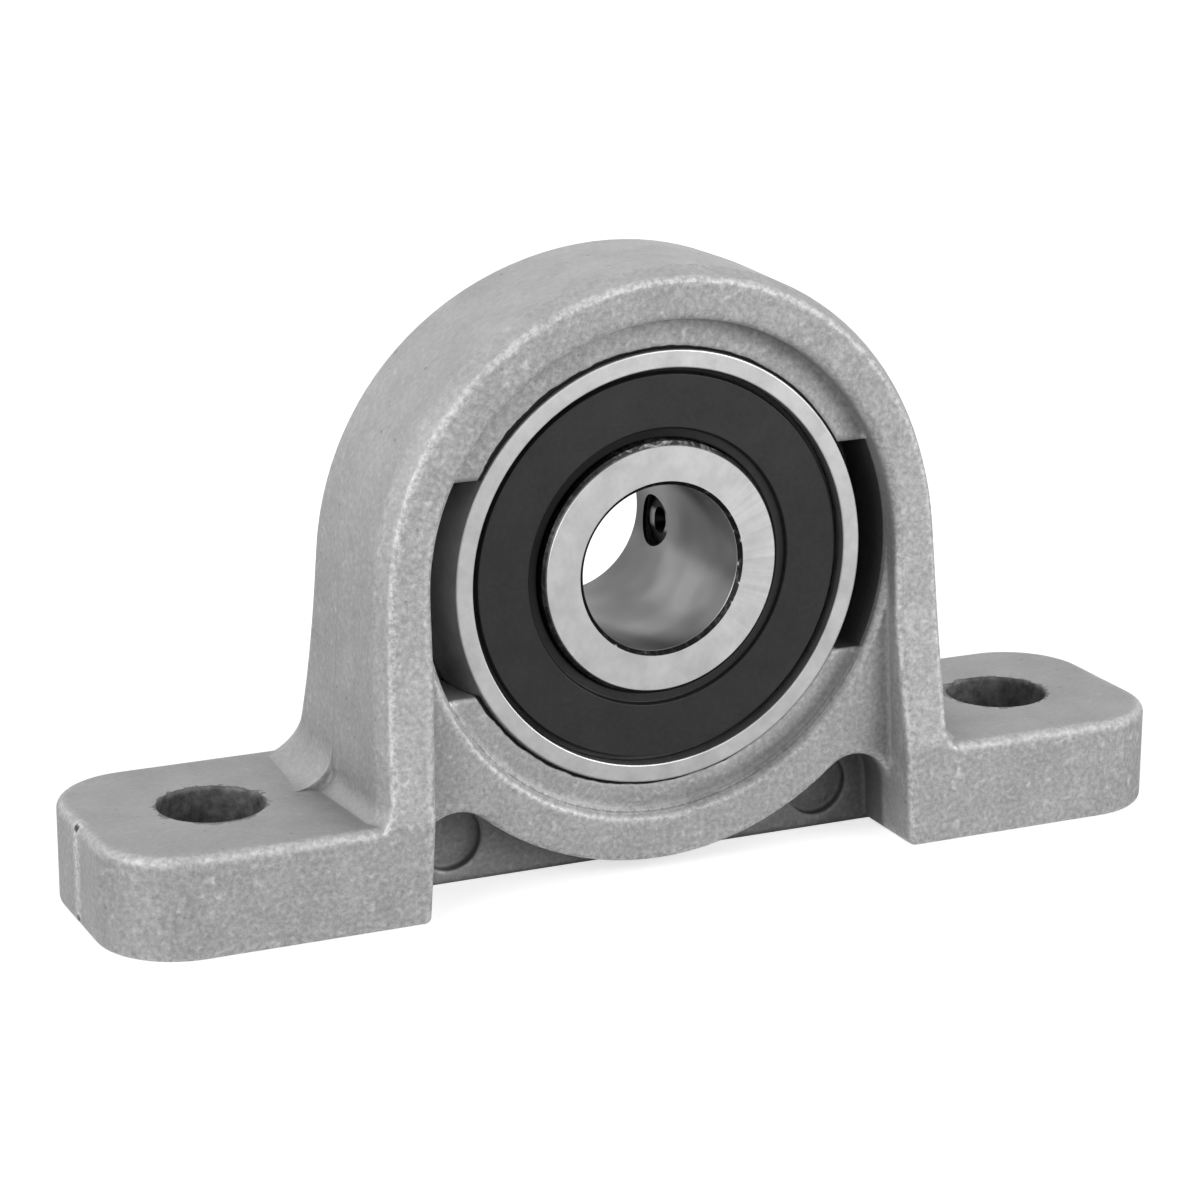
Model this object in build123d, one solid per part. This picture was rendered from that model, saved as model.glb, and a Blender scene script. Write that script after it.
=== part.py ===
from build123d import *
from math import cos, radians, sin, sqrt, tan
import os

# Pillow block bearing, 8 mm bore. Millimetres, Z up, X along the base.
# The front, which faces the viewer of the photo, is at -Y.
# The origin is on the underside, below the bearing centre, on the line of the bolt holes.

# Housing casting
base_length = 55.0
base_width = 13.0
foot_thickness = 5.0
foot_corner_radius = 4.0
bolt_spacing = 42.0
bolt_hole_diameter = 5.1
centre_height = 15.0
bearing_offset = -0.8
tower_radius = 14.55
tower_draft_angle = 1.4
leg_flare_angle = 2.8
leg_foot_radius_front = 0.9
leg_foot_radius_rear = 2.0
tower_flare_height = 8.5
tower_front = 5.4
tower_rear = 4.3
tower_rear_at_shoulder = 3.8
tower_shoulder_angle = 55.0
tower_rear_at_top = 3.1
tower_sink = 2.0
rim_bevel_depth = 1.0
rim_bevel_inset = 0.45
rim_ridge_radius = 0.2
foot_edge_radius = 0.45
foot_bottom_radius = 0.35
recess_radius = 12.0
face_edge_radius = 0.35
seat_half_width = 3.35
slot_height = 10.4
boss_half_width = 3.7
boss_base_gap = 0.65
boss_inner_flare = 0.5
boss_outer_edge_radius = 0.3
leg_inner_draft = 0.6
leg_inner_top_height = 11.0
pocket_corner_radius = 2.0
web_half_thickness = 1.75
ejector_mark_x = 9.8
ejector_mark_z = 2.2
ejector_mark_radius = 1.6
ejector_mark_depth = 0.5

# Insert bearing
sphere_radius = 11.0
outer_ring_width = 7.0
inner_ring_front = 3.5
inner_ring_rear = 8.0
bore_diameter = 8.0
bore_chamfer = 0.25
ball_diameter = 3.969
ball_count = 7
pitch_radius = 7.5
groove_ratio = 0.52
outer_shoulder_radius = 8.75
inner_shoulder_radius = 6.1
ring_chamfer = 0.25
seal_seat_radius = 9.6
seal_seat_depth = 1.0
seal_recess = 0.3
seal_thickness = 0.35
seal_core_thickness = 0.2
seal_core_inner_radius = 6.95
seal_core_outer_radius = 9.1
seal_step_radius = 6.85
seal_step_depth = 0.25

# Ribbon cage
cage_band_inner_radius = 6.75
cage_band_outer_radius = 8.2
cage_sheet = 0.2
rivet_radius = 0.3
rivet_head_radius = 0.5
rivet_head_height = 0.2

# Set screws
screw_radius = 1.45
screw_length = 3.0
screw_tip_radius_position = 4.35
screw_end_inset = 2.4
screw_angles = (-4.0, 58.0)
screw_socket_across_flats = 1.5
screw_socket_depth = 1.3
screw_chamfer = 0.3
screw_cup_radius = 0.75
screw_cup_depth = 0.35
screw_cup_bottom_radius = 0.05

# Named clearances
seat_clearance = 0.03
ball_race_clearance = 0.02
cage_ball_clearance = 0.07
seal_seat_clearance = 0.02
seal_lip_clearance = 0.06
screw_thread_clearance = 0.05

# How far a cut runs past what it cuts
overcut = 1.0

half_length = base_length / 2
half_width = base_width / 2
tower_top = centre_height + tower_radius
boss_radius = centre_height - boss_base_gap
leg_inner_at_base = recess_radius + leg_inner_draft
arch_land = tower_radius - tower_front * tan(radians(tower_draft_angle)) - rim_bevel_inset - recess_radius
bearing_centre = Vector(0, bearing_offset, centre_height)
ball_radius = ball_diameter / 2


def prism_along_y(face, y_from, y_to):
    """Extrude a face drawn on the XZ plane so that it fills y_from to y_to."""
    return Pos(0, y_to, 0) * extrude(face, amount=y_to - y_from)


def disc_along_y(radius, y_from, y_to):
    """Cylinder on the bearing axis from y_from to y_to."""
    middle = (y_from + y_to) / 2
    return Pos(0, middle, centre_height) * Rot(90, 0, 0) * Cylinder(radius, y_to - y_from)


def tower_outline(foot_radius):
    """Arch and legs at the parting plane, flared into the feet and sunk a little into them."""
    flare = radians(leg_flare_angle)
    tangent_x = tower_radius * cos(flare)
    tangent_z = centre_height + tower_radius * sin(flare)
    arc_z = foot_thickness + foot_radius
    arc_x = tangent_x + (tangent_z - arc_z) * tan(flare) + foot_radius / cos(flare)
    half_turn = radians(90 - leg_flare_angle) / 2
    leg_end = (arc_x - foot_radius * cos(flare), arc_z - foot_radius * sin(flare))
    arc_middle = (arc_x - foot_radius * cos(flare + half_turn), arc_z - foot_radius * sin(flare + half_turn))
    arc_end = (arc_x, foot_thickness)
    sunk = (arc_x, foot_thickness - tower_sink)
    with BuildSketch(Plane.XZ) as sketch:
        with BuildLine():
            Line((tangent_x, tangent_z), leg_end)
            ThreePointArc(leg_end, arc_middle, arc_end)
            Line(arc_end, sunk)
            Line(sunk, (0, sunk[1]))
            mirror(about=Plane.YZ)
            ThreePointArc((tangent_x, tangent_z), (0, tower_top), (-tangent_x, tangent_z))
        make_face()
    return sketch.sketch


def tower_side_outline():
    """Tower seen from the side: upright faces that curve out to the full width at the feet."""
    sunk = foot_thickness - tower_sink
    flare_top = foot_thickness + tower_flare_height
    shoulder = centre_height + recess_radius * sin(radians(tower_shoulder_angle))
    with BuildSketch(Plane.YZ) as sketch:
        with BuildLine():
            Polyline(
                (half_width, foot_thickness), (half_width, sunk), (-half_width, sunk),
                (-half_width, foot_thickness))
            Spline((-half_width, foot_thickness), (-tower_front, flare_top), (-tower_front, tower_top))
            Polyline(
                (-tower_front, tower_top), (-tower_front, tower_top + overcut),
                (tower_rear_at_top, tower_top + overcut), (tower_rear_at_top, tower_top))
            Spline(
                (tower_rear_at_top, tower_top), (tower_rear_at_shoulder, shoulder),
                (tower_rear, flare_top), (half_width, foot_thickness))
        make_face()
    return sketch.sketch


def rim_edges(body, side):
    """Front or rear face of the tower, and the edges round its arch and legs."""
    face = max((f for f in body.faces() if side * f.center().Y > tower_rear_at_top), key=lambda f: f.area)
    return face, [e for e in face.edges() if e.center().Z > foot_thickness + 0.01]


def make_tower():
    """Arch and legs, drafted from the parting plane, with a bevel round the front and the rear face."""
    towards_front = extrude(
        tower_outline(leg_foot_radius_front), amount=half_width, taper=tower_draft_angle)
    towards_rear = extrude(
        tower_outline(leg_foot_radius_rear), amount=half_width, dir=(0, 1, 0), taper=tower_draft_angle)
    tower = towards_front + towards_rear
    tower &= Pos(-half_length, 0, 0) * extrude(tower_side_outline(), amount=base_length)
    tower = tower.solid()
    for side in (-1, 1):
        face, rim = rim_edges(tower, side)
        tower = tower.chamfer(rim_bevel_inset, rim_bevel_depth, rim, face)
        face, rim = rim_edges(tower, side)
        tower = tower.fillet(rim_ridge_radius, rim)
    return tower


def make_feet():
    """One long plate with round corners and a rounded upper edge, the web cut from it later."""
    plan = Rectangle(base_length, base_width)
    plan = fillet(plan.vertices(), foot_corner_radius)
    plate = extrude(plan, amount=foot_thickness)
    return fillet(plate.faces().sort_by(Axis.Z)[-1].edges(), foot_edge_radius)


def space_between_legs():
    """Opening between the inner walls of the two legs, seen from the front."""
    with BuildSketch(Plane.XZ) as sketch:
        with BuildLine():
            Polyline(
                (-leg_inner_at_base, 0), (leg_inner_at_base, 0), (recess_radius, leg_inner_top_height),
                (recess_radius, centre_height), (-recess_radius, centre_height),
                (-recess_radius, leg_inner_top_height), (-leg_inner_at_base, 0))
        make_face()
    return sketch.sketch


def pocket_outline():
    """Area below the round boss where only the thin web is left."""
    with BuildSketch(Plane.XZ) as sketch:
        add(space_between_legs())
        with Locations((0, centre_height)):
            Circle(boss_radius, mode=Mode.SUBTRACT)
        top_corners = [v for v in sketch.vertices() if v.Y > ejector_mark_z + ejector_mark_radius]
        fillet(top_corners, pocket_corner_radius)
    return sketch.sketch


def boss_mouth(side):
    """Flared mouth of the recess in the boss below the bearing, as a shape to cut away."""
    face_y = side * boss_half_width
    deep_y = side * (boss_half_width - boss_inner_flare)
    narrow = recess_radius - boss_inner_flare / 2
    wide = recess_radius + boss_inner_flare / 2
    mouth = revolve_about_axis(closed([(0, face_y), (wide, face_y), (narrow, deep_y), (0, deep_y)]))
    lower_half = Box(recess_radius * 2, base_width * 2, centre_height,
                     align=(Align.CENTER, Align.CENTER, Align.MIN))
    return mouth & lower_half


def soften_faces(body):
    """Round the open edges of the recess, of the legs' inner walls and of the boss."""
    def beyond_boss(point):
        return (abs(point.X) < leg_inner_at_base + 0.1
                and abs(point.Y - bearing_offset) > boss_half_width + 0.1)

    mouth_edges = [e for e in body.edges() if beyond_boss(e @ 0) and beyond_boss(e @ 1)]
    body = body.fillet(min(face_edge_radius, arch_land / 2), mouth_edges)
    for side in (-1, 1):
        face_y = bearing_offset + side * boss_half_width
        boss_edge = [e for e in body.edges().filter_by(GeomType.CIRCLE)
                     if abs(e.radius - boss_radius) < 0.01 and abs(e.center().Y - face_y) < 0.01]
        body = body.fillet(boss_outer_edge_radius, boss_edge)
    return body


def round_underside(body):
    """Round the lower outer edge of the feet."""
    outside_holes = (bolt_spacing + bolt_hole_diameter + overcut) / 2
    lower_edges = [e for e in body.edges().filter_by_position(Axis.Z, 0, 0)
                   if abs(e.center().X) > outside_holes or abs(abs(e.center().Y) - half_width) < 0.01]
    return body.fillet(foot_bottom_radius, lower_edges)


def make_housing():
    """One casting: feet, legs, arch, spherical seat, loading slots, pockets and web."""
    body = make_feet() + make_tower()

    front = bearing_offset - seat_half_width
    rear = bearing_offset + seat_half_width
    body -= disc_along_y(recess_radius, -half_width - overcut, front)
    body -= disc_along_y(recess_radius, rear, half_width + overcut)
    body -= Pos(*bearing_centre) * Rot(90, 0, 0) * Sphere(sphere_radius + seat_clearance)
    slot = disc_along_y(recess_radius, front - overcut, bearing_offset)
    slot &= Pos(0, 0, centre_height) * Box(base_length, base_width * 2, slot_height)
    body -= slot

    gap = space_between_legs()
    boss_front = bearing_offset - boss_half_width
    boss_rear = bearing_offset + boss_half_width
    body -= prism_along_y(gap, -half_width - overcut, boss_front)
    body -= prism_along_y(gap, boss_rear, half_width + overcut)
    pocket = pocket_outline()
    body -= prism_along_y(pocket, -half_width - overcut, -web_half_thickness)
    body -= prism_along_y(pocket, web_half_thickness, half_width + overcut)
    body = soften_faces(body)
    for side in (-1, 1):
        body -= boss_mouth(side)

    for side in (-1, 1):
        mark = Pos(side * ejector_mark_x, -web_half_thickness, ejector_mark_z) * Rot(90, 0, 0)
        body -= mark * Cylinder(ejector_mark_radius, ejector_mark_depth * 2)
        hole = Pos(side * bolt_spacing / 2, 0, foot_thickness / 2)
        body -= hole * Cylinder(bolt_hole_diameter / 2, foot_thickness * 2)
    return round_underside(body)


def revolve_about_axis(points_and_arcs):
    """Turn a closed profile of (radius, y) lines and arcs about the bearing axis."""
    with BuildSketch(Plane.XY) as sketch:
        with BuildLine():
            for piece in points_and_arcs:
                if len(piece) == 3:
                    ThreePointArc(*piece)
                else:
                    Line(*piece)
        make_face()
    return Pos(*bearing_centre) * revolve(sketch.sketch, Axis.Y)


def outer_ring_profile():
    """Half section of the outer ring: ball-shaped outside, race inside, a seal seat at each side."""
    half = outer_ring_width / 2
    face_radius = sqrt(sphere_radius ** 2 - half ** 2)
    shoulder_y = half - seal_seat_depth
    groove = groove_ratio * ball_diameter
    bottom = pitch_radius + ball_radius + ball_race_clearance
    groove_centre = bottom - groove
    groove_y = sqrt(groove ** 2 - (outer_shoulder_radius - groove_centre) ** 2)
    return [
        ((face_radius, -half), (sphere_radius, 0), (face_radius, half)),
        ((face_radius, half), (seal_seat_radius, half)),
        ((seal_seat_radius, half), (seal_seat_radius, shoulder_y)),
        ((seal_seat_radius, shoulder_y), (outer_shoulder_radius, shoulder_y)),
        ((outer_shoulder_radius, shoulder_y), (outer_shoulder_radius, groove_y)),
        ((outer_shoulder_radius, groove_y), (bottom, 0), (outer_shoulder_radius, -groove_y)),
        ((outer_shoulder_radius, -groove_y), (outer_shoulder_radius, -shoulder_y)),
        ((outer_shoulder_radius, -shoulder_y), (seal_seat_radius, -shoulder_y)),
        ((seal_seat_radius, -shoulder_y), (seal_seat_radius, -half)),
        ((seal_seat_radius, -half), (face_radius, -half)),
    ]


def inner_ring_profile():
    """Half section of the inner ring: race outside, plain bore, long rear side."""
    bore = bore_diameter / 2
    groove = groove_ratio * ball_diameter
    bottom = pitch_radius - ball_radius - ball_race_clearance
    groove_centre = bottom + groove
    groove_y = sqrt(groove ** 2 - (groove_centre - inner_shoulder_radius) ** 2)
    front = -inner_ring_front
    rear = inner_ring_rear
    outer_face = inner_shoulder_radius - ring_chamfer
    inner_face = bore + bore_chamfer
    return [
        ((inner_face, front), (outer_face, front)),
        ((outer_face, front), (inner_shoulder_radius, front + ring_chamfer)),
        ((inner_shoulder_radius, front + ring_chamfer), (inner_shoulder_radius, -groove_y)),
        ((inner_shoulder_radius, -groove_y), (bottom, 0), (inner_shoulder_radius, groove_y)),
        ((inner_shoulder_radius, groove_y), (inner_shoulder_radius, rear - ring_chamfer)),
        ((inner_shoulder_radius, rear - ring_chamfer), (outer_face, rear)),
        ((outer_face, rear), (inner_face, rear)),
        ((inner_face, rear), (bore, rear - bore_chamfer)),
        ((bore, rear - bore_chamfer), (bore, front + bore_chamfer)),
        ((bore, front + bore_chamfer), (inner_face, front)),
    ]


def closed(points):
    """Lines that join the given points and return to the first."""
    return [(a, b) for a, b in zip(points, points[1:] + points[:1])]


def seal_rubber_profile(side):
    """Half section of a seal's rubber: bead in the seat, thin disc, stepped lip."""
    outside = outer_ring_width / 2 - seal_recess
    inside = outside - seal_thickness
    core_inside = inside - seal_core_thickness
    seat = outer_ring_width / 2 - seal_seat_depth
    bead = seal_seat_radius - seal_seat_clearance
    lip = inner_shoulder_radius + seal_lip_clearance
    step = outside - seal_step_depth
    return closed([
        (bead, side * outside), (bead, side * seat),
        (seal_core_outer_radius, side * seat), (seal_core_outer_radius, side * inside),
        (seal_core_inner_radius, side * inside), (seal_core_inner_radius, side * core_inside),
        (lip, side * core_inside), (lip, side * step),
        (seal_step_radius, side * step), (seal_step_radius, side * outside)])


def seal_core_profile(side):
    """Half section of the steel washer behind the rubber."""
    near = outer_ring_width / 2 - seal_recess - seal_thickness
    far = near - seal_core_thickness
    return closed([
        (seal_core_inner_radius, side * near), (seal_core_outer_radius, side * near),
        (seal_core_outer_radius, side * far), (seal_core_inner_radius, side * far)])


def places_round_pitch(first_step):
    """Equally spaced places on the pitch circle, each turned so that its Z is the bearing axis."""
    step = 360 / ball_count
    outward = Pos(0, 0, pitch_radius) * Rot(90, 0, 0)
    return [Pos(*bearing_centre) * Rot(0, (k + first_step) * step, 0) * outward
            for k in range(ball_count)]


ball_places = places_round_pitch(0)
rivet_places = places_round_pitch(0.5)


def around_axis(radius, y_from, y_to):
    """Cylinder on the bearing axis, y measured from the bearing centre."""
    return disc_along_y(radius, bearing_offset + y_from, bearing_offset + y_to)


def make_cage_half(side):
    """Flat ribbon with a half-round pocket over every ball."""
    pocket_inside = ball_radius + cage_ball_clearance
    pocket_outside = pocket_inside + cage_sheet

    def band(depth):
        y_from, y_to = sorted((0, side * depth))
        ring = around_axis(cage_band_outer_radius, y_from, y_to)
        return ring - around_axis(cage_band_inner_radius, y_from - overcut, y_to + overcut)

    half = band(cage_sheet)
    domes = band(pocket_outside + overcut)
    for place in ball_places:
        half += domes & (place * Sphere(pocket_outside))
    for place in ball_places:
        half -= place * Sphere(pocket_inside)
    for place in rivet_places:
        half -= place * Cylinder(rivet_radius, cage_sheet * 4)
    return half


def make_rivets():
    """Seven rivets with a flat head on each side of the ribbon."""
    shape = Cylinder(rivet_radius, cage_sheet * 2)
    for side in (-1, 1):
        shape += Pos(0, 0, side * (cage_sheet + rivet_head_height / 2)) * Cylinder(
            rivet_head_radius, rivet_head_height)
    return Compound(children=[place * shape for place in rivet_places])


def screw_place(angle):
    """Place on the inner ring's axis at the screw's y, its +Z outward at this angle above +X."""
    y = bearing_offset + inner_ring_rear - screw_end_inset
    return Pos(0, y, centre_height) * Rot(0, 90 - angle, 0)


def make_set_screw(angle):
    """Headless screw with a hexagon socket outside and a cup point toward the shaft."""
    screw = Cylinder(screw_radius, screw_length, align=(Align.CENTER, Align.CENTER, Align.MIN))
    screw = chamfer(screw.edges().filter_by(GeomType.CIRCLE), screw_chamfer)
    across_corners = screw_socket_across_flats / cos(radians(30))
    socket = extrude(RegularPolygon(across_corners / 2, 6), amount=screw_socket_depth)
    screw -= Pos(0, 0, screw_length - screw_socket_depth) * socket
    cup = Cone(screw_cup_radius, screw_cup_bottom_radius, screw_cup_depth,
               align=(Align.CENTER, Align.CENTER, Align.MIN))
    screw -= cup
    return screw_place(angle) * Pos(0, 0, screw_tip_radius_position) * screw


def make_inner_ring():
    """Inner ring with the two screw holes."""
    ring = revolve_about_axis(inner_ring_profile())
    for angle in screw_angles:
        drill = Cylinder(
            screw_radius + screw_thread_clearance, sphere_radius,
            align=(Align.CENTER, Align.CENTER, Align.MIN))
        ring -= screw_place(angle) * drill
    return ring


os.makedirs("parts", exist_ok=True)
export_step(make_housing(), "parts/housing.step")
export_step(revolve_about_axis(outer_ring_profile()), "parts/outer_ring.step")
export_step(make_inner_ring(), "parts/inner_ring.step")
for number, place in enumerate(ball_places, start=1):
    export_step(place * Sphere(ball_radius), f"parts/ball_{number}.step")
for name, side in (("front", -1), ("rear", 1)):
    export_step(make_cage_half(side), f"parts/cage_{name}_half.step")
    export_step(revolve_about_axis(seal_rubber_profile(side)), f"parts/{name}_seal_rubber.step")
    export_step(revolve_about_axis(seal_core_profile(side)), f"parts/{name}_seal_core.step")
export_step(make_rivets(), "parts/cage_rivets.step")
for number, angle in enumerate(screw_angles, start=1):
    export_step(make_set_screw(angle), f"parts/set_screw_{number}.step")
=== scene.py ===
from math import asin, cos, degrees, radians, sin, sqrt, tau
from types import SimpleNamespace

import bmesh
import bpy
from mathutils import Matrix, Vector


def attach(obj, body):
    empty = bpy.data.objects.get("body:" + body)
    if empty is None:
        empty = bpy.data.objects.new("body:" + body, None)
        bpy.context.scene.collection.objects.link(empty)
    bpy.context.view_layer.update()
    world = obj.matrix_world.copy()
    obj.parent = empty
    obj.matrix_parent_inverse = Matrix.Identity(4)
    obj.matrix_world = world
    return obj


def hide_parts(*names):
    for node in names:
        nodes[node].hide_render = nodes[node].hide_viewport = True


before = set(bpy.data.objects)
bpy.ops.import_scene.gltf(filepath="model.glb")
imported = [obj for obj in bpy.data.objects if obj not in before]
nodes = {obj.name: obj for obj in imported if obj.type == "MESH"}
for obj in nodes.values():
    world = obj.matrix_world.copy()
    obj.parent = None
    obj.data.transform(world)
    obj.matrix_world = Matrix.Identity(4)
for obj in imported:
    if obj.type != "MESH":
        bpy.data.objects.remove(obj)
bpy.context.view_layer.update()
scene = bpy.context.scene

MM = 0.001

# Sizes in millimetres. They are the CAD model's, but for BORE_CHAMFER, SEAL_LIP and SCREW_POINT, which
# follow the photo more closely. The origin is on the base, below the bearing centre.
CENTRE = Vector((0, -0.8, 15.0)) * MM

# The casting. The bolt holes and the recess are given by their radii, the fronts by their place along Y.
FOOT_END = 27.5
FOOT_TOP = 5.0
BOLT_X = 21.0
BOLT_HOLE = 2.55
LEG_INSIDE = 12.6
RECESS = 12.0
TOWER_FRONT = -5.4
SEAT_FRONT = -4.15

# The insert: radii, and distances along the shaft from the bearing centre.
SPHERE = 11.0
RING_FACE = 3.5
RING_REAR = 8.0
BORE = 4.0
BORE_CHAMFER = 0.22
INNER_SHOULDER = 6.1
OUTER_SHOULDER = 8.75
SEAL_SEAT = 9.6
SEAL_SEAT_Y = 2.5
SEAL_LIP = 6.64
BALL = 3.969
BALL_COUNT = 7
PITCH = 7.5
GROOVE = 0.52 * BALL
RACE_GAP = 0.02

# The set screws: angles above +X, their place along Y, and the distances of cup point and outer end
# from the shaft's axis.
SCREW_ANGLES = (-4.0, 58.0)
SCREW_Y = 4.8
SCREW_POINT = 4.25
SCREW_END = 7.35
SCREW_HOLE = 1.5

# Steps round a ring and degrees in a step of an arc, the distance at which points merge, and the angles
# from which an edge is rounded, and drawn sharp on a new mesh and on one that has been cut.
RING_STEPS = 240
ARC_STEP = 4
MERGE = 0.0005
ROUNDED_ANGLE = 30
SHARP_ANGLE = 12
SHARP_ANGLE_CUT = 35

# Ends of a band that is open toward zero, or away from it.
NEAR = -1.0
FAR = 99.0


# Materials

def linear(hex_colour):
    """Linear RGBA of an sRGB hex colour."""
    channels = [int(hex_colour[i:i + 2], 16) / 255 for i in (1, 3, 5)]
    return [c / 12.92 if c <= 0.04045 else ((c + 0.055) / 1.055) ** 2.4 for c in channels] + [1.0]


def add_node(tree, kind, inputs=None, stops=(), **settings):
    """Add a node with its settings and links. An input is a value, a socket, or a node, whose first output
    in use is linked. Stops are the (position, hex colour) pairs of a colour ramp."""
    made = tree.nodes.new(kind)
    for key, value in settings.items():
        setattr(made, key, value)
    for key, value in (inputs or {}).items():
        if isinstance(value, bpy.types.Node):
            value = next(output for output in value.outputs if output.enabled)
        if isinstance(value, bpy.types.NodeSocket):
            tree.links.new(value, made.inputs[key])
        else:
            made.inputs[key].default_value = value
    if stops:
        elements = made.color_ramp.elements
        while len(elements) < len(stops):
            elements.new(0.5)
        for element, (position, colour) in zip(elements, stops):
            element.position = position
            element.color = linear(colour)
    return made


def per_metre(size_mm):
    """Texture scale that gives features of this size in millimetres."""
    return 1 / (size_mm * MM)


def new_material(name):
    """A material with only its shader and output, and object coordinates."""
    made = bpy.data.materials.new(name)
    made.use_nodes = True
    tree = made.node_tree
    tree.nodes.clear()
    shader = add_node(tree, "ShaderNodeBsdfPrincipled")
    add_node(tree, "ShaderNodeOutputMaterial", {"Surface": shader})
    place = add_node(tree, "ShaderNodeTexCoord").outputs["Object"]
    return made, tree, shader, place


def where_all(tree, *masks):
    """Mask that is strong only where every mask is. A plain number weakens the whole."""
    whole = masks[0]
    for mask in masks[1:]:
        whole = add_node(tree, "ShaderNodeMath", {0: whole, 1: mask}, operation="MULTIPLY")
    return whole


def band(tree, value, low, high, soft):
    """Mask that is 1 where the value lies between low and high millimetres, with soft ends."""
    rise = add_node(tree, "ShaderNodeMapRange",
                    {"Value": value, "From Min": (low - soft) * MM, "From Max": (low + soft) * MM})
    fall = add_node(tree, "ShaderNodeMapRange",
                    {"Value": value, "From Min": (high + soft) * MM, "From Max": (high - soft) * MM})
    return where_all(tree, rise, fall)


def axis_distance(tree, place, centre, along):
    """Distance from an axis through the centre; along is 0 on that axis and 1 on the others."""
    away = add_node(tree, "ShaderNodeVectorMath", {0: place, 1: centre}, operation="SUBTRACT")
    flat = add_node(tree, "ShaderNodeVectorMath", {0: away, 1: along}, operation="MULTIPLY")
    return add_node(tree, "ShaderNodeVectorMath", {0: flat}, operation="LENGTH").outputs["Value"]


def casting_places(tree, place):
    """Where a point of the casting lies: across, depth and height along X, Y and Z, side as the distance
    from the middle, radius from the bearing axis, bolt from the nearer bolt axis, and the way it faces."""
    spot = add_node(tree, "ShaderNodeSeparateXYZ", {"Vector": place})
    mirrored = add_node(tree, "ShaderNodeVectorMath", {0: place}, operation="ABSOLUTE")
    side = add_node(tree, "ShaderNodeSeparateXYZ", {"Vector": mirrored}).outputs["X"]
    normal = add_node(tree, "ShaderNodeNewGeometry").outputs["Normal"]
    normal = add_node(tree, "ShaderNodeVectorMath", {0: normal}, operation="ABSOLUTE")
    facing = add_node(tree, "ShaderNodeSeparateXYZ", {"Vector": normal})
    return SimpleNamespace(
        place=place, across=spot.outputs["X"], depth=spot.outputs["Y"], height=spot.outputs["Z"],
        mirrored=mirrored, side=side, radius=axis_distance(tree, place, CENTRE, (1, 0, 1)),
        bolt=axis_distance(tree, mirrored, (BOLT_X * MM, 0, 0), (1, 1, 0)),
        facing_y=facing.outputs["Y"], facing_z=facing.outputs["Z"])


def blasted_skin(tree, at):
    """Tone and relief of the shot-blasted skin, and the fine grit that later masks break up with. The marks
    of the shot are 0.2 to 0.4 mm across, strong on the faces that look along Y and weak on level ones."""
    broad = add_node(tree, "ShaderNodeMath", {0: at.facing_y, 1: 0.35, 2: 0.65}, operation="MULTIPLY_ADD")
    broad = add_node(tree, "ShaderNodeMath", {0: at.facing_z, 1: -0.35, 2: broad}, operation="MULTIPLY_ADD")
    worms = add_node(tree, "ShaderNodeTexNoise",
                     {"Vector": at.place, "Scale": per_metre(0.45), "Detail": 2.0, "Roughness": 0.7,
                      "Distortion": 0.5}, noise_type="RIDGED_MULTIFRACTAL", normalize=True)
    grit = add_node(tree, "ShaderNodeTexNoise",
                    {"Vector": at.place, "Scale": per_metre(0.25), "Detail": 4.0, "Roughness": 0.7})
    cloud = add_node(tree, "ShaderNodeTexNoise",
                     {"Vector": at.place, "Scale": per_metre(2.2), "Detail": 3.0, "Roughness": 0.6})
    grains = add_node(tree, "ShaderNodeValToRGB", {"Fac": grit},
                      [(0.3, "#b2b2b2"), (0.5, "#cacaca"), (0.7, "#e2e2e1")])
    tone = add_node(tree, "ShaderNodeMix", {"Factor": broad, "A": linear("#cacaca"), "B": grains},
                    data_type="RGBA")
    ridges = add_node(tree, "ShaderNodeValToRGB", {"Fac": worms}, [(0.1, "#d8d8d8"), (0.7, "#ffffff")])
    patches = add_node(tree, "ShaderNodeValToRGB", {"Fac": cloud}, [(0.3, "#eeeeee"), (0.7, "#ffffff")])
    for strength, pattern in ((broad, ridges), (1.0, patches)):
        tone = add_node(tree, "ShaderNodeMix", {"Factor": strength, "A": tone, "B": pattern},
                        data_type="RGBA", blend_type="MULTIPLY")
    relief = add_node(tree, "ShaderNodeMath", {0: worms, 1: grit})
    return tone, where_all(tree, relief, broad), grit


def shaded_foot_tops(tree, at):
    """Mask of painted shade that darkens the flat tops of the feet."""
    level = add_node(tree, "ShaderNodeMapRange",
                     {"Value": at.facing_z, "From Min": 0.9, "From Max": 1.0, "To Max": 0.2})
    return where_all(tree, band(tree, at.height, FOOT_TOP - 0.2, FOOT_TOP + 0.2, 0.2), level)


def shot_pits(tree, at):
    """Mask of the pits left by single shots: a few of the cells 0.7 mm across hold one."""
    cells = add_node(tree, "ShaderNodeTexVoronoi", {"Vector": at.place, "Scale": per_metre(0.7)})
    pit = add_node(tree, "ShaderNodeMapRange",
                   {"Value": cells.outputs["Distance"], "From Min": 0.17, "From Max": 0.05})
    chance = add_node(tree, "ShaderNodeSeparateColor", {"Color": cells.outputs["Color"]})
    chosen = add_node(tree, "ShaderNodeMath", {0: chance.outputs["Red"], 1: 0.82}, operation="GREATER_THAN")
    return where_all(tree, pit, chosen)


def shade_in_corners(tree):
    """Mask of painted shade in the inner corners and pockets, from ambient occlusion."""
    open_sky = add_node(tree, "ShaderNodeAmbientOcclusion", {"Distance": 3.5 * MM},
                        only_local=True, samples=8).outputs["AO"]
    return add_node(tree, "ShaderNodeMapRange",
                    {"Value": open_sky, "From Min": 0.95, "From Max": 0.3, "To Max": 0.5})


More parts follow.
